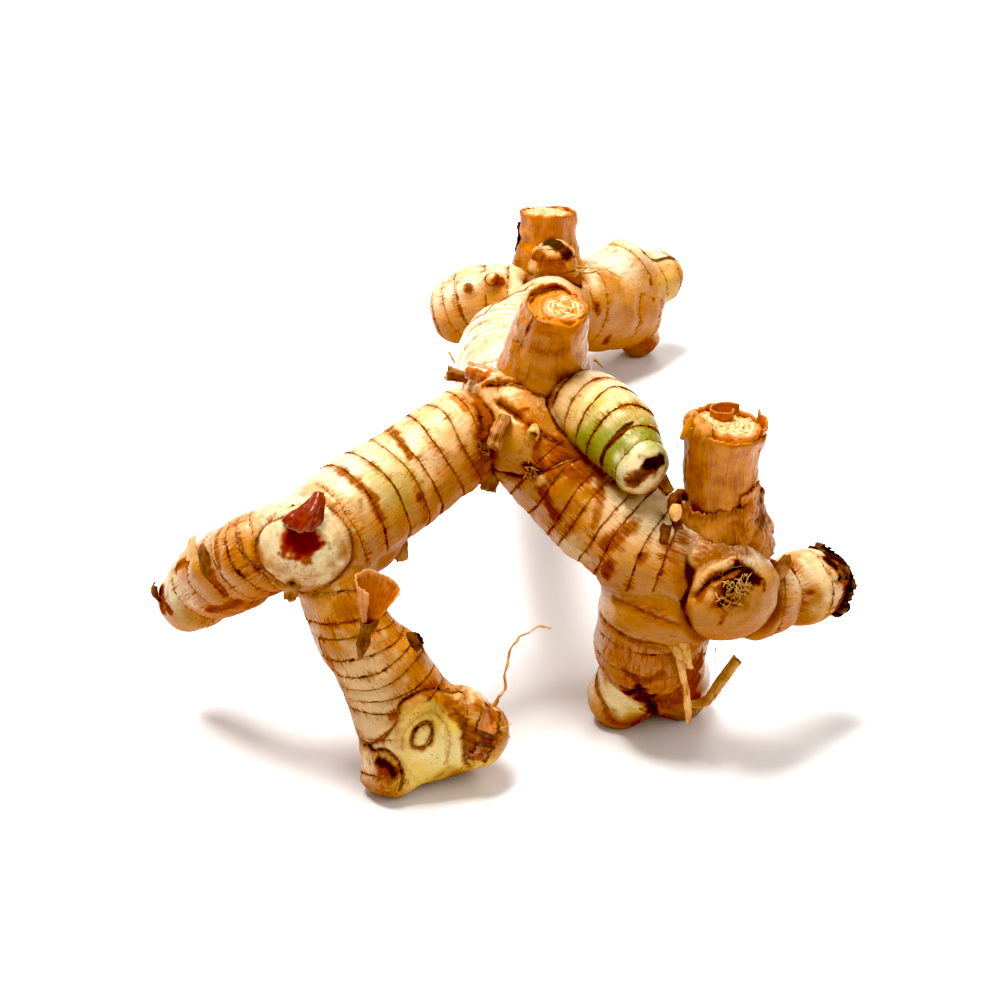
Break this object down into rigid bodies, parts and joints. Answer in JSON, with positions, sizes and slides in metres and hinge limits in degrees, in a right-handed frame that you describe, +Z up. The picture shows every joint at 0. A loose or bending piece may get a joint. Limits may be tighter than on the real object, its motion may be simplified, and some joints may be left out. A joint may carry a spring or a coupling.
{
  "type": "galangal rhizome",
  "caption": "Fresh galangal rhizome that stands on its lobes: ringed fingers, cut leaf-stem stubs, dried scales and root stubs.",
  "frame": {"origin": "bottom centre of the bounding box, on the surface that the rhizome stands on", "axes": "+Z up; +Y along the spine, from the front fingers to the back cluster; +X to the right, towards the branch beside the tall front stem"},
  "size_m": [0.2064, 0.3194, 0.1347],
  "materials": {
    "skin": "satin, waxy fresh skin",
    "stem_skin": "satin, fibrous",
    "old_sheath": "papery, slightly glossy",
    "red_scale": "papery, satin",
    "dried_scale": "papery, matte",
    "pale_scale": "papery, thin",
    "root_brown": "matte, fibrous",
    "root_pale": "matte, fibrous"
  },
  "bodies": {
    "root": {"rhizome": "skin", "stem_back": "stem_skin", "stem_middle": "stem_skin", "stem_right": "stem_skin", "sheath_middle": "old_sheath", "sheath_right": "old_sheath", "leaf_rolled": "old_sheath", "bud_scale": "red_scale", "scale_cup": "pale_scale", "scale_flap": "dried_scale", "tip_scrap": "dried_scale", "scale_curl": "dried_scale", "scale_ear": "root_brown", "rootlet_long": "root_pale", "root_strip": "root_pale", "root_stick": "root_brown", "root_woody": "root_brown", "root_cone": "root_brown", "root_square": "root_brown", "root_ball": "root_brown", "root_ring": "root_brown", "root_arm": "root_brown", "root_green": "root_brown", "root_hollow": "root_brown", "root_leg": "root_brown"}
  },
  "joints": []
}
